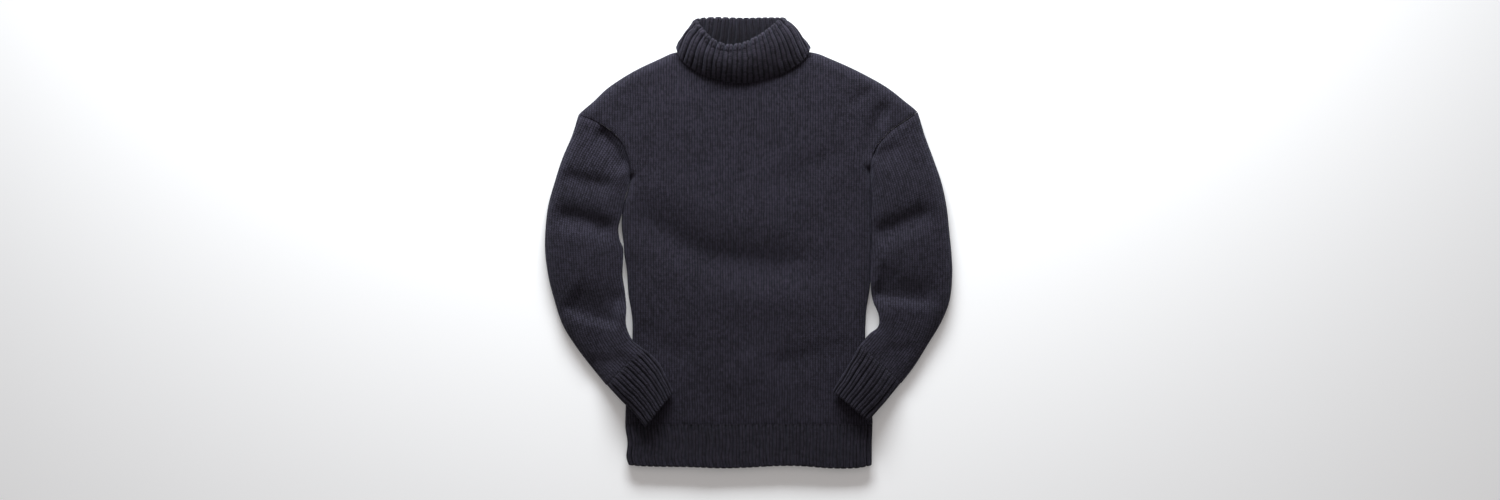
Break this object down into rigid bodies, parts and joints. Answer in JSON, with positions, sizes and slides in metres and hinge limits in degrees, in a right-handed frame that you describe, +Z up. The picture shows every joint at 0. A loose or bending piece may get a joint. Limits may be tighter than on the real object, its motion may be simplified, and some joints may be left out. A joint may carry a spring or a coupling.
{
  "type": "submariner sweater",
  "caption": "Heavy navy wool sweater laid flat, with a ribbed roll collar, ribbed hem and cuffs, and long sleeves bent over the front.",
  "frame": {"origin": "middle of the outline on the surface that the sweater lies on", "axes": "+Y from the hem to the collar, +X to the wearer's left, +Z up from the surface, through the front"},
  "size_m": [0.7148, 0.7905, 0.0502],
  "materials": {
    "jersey": "matte",
    "rib": "matte"
  },
  "bodies": {
    "root": {"front": "jersey", "back": "jersey", "sleeve_right": "jersey", "sleeve_left": "jersey", "hem_rib_front": "rib", "hem_rib_back": "rib", "cuff_right": "rib", "cuff_left": "rib", "collar": "rib"}
  },
  "joints": []
}
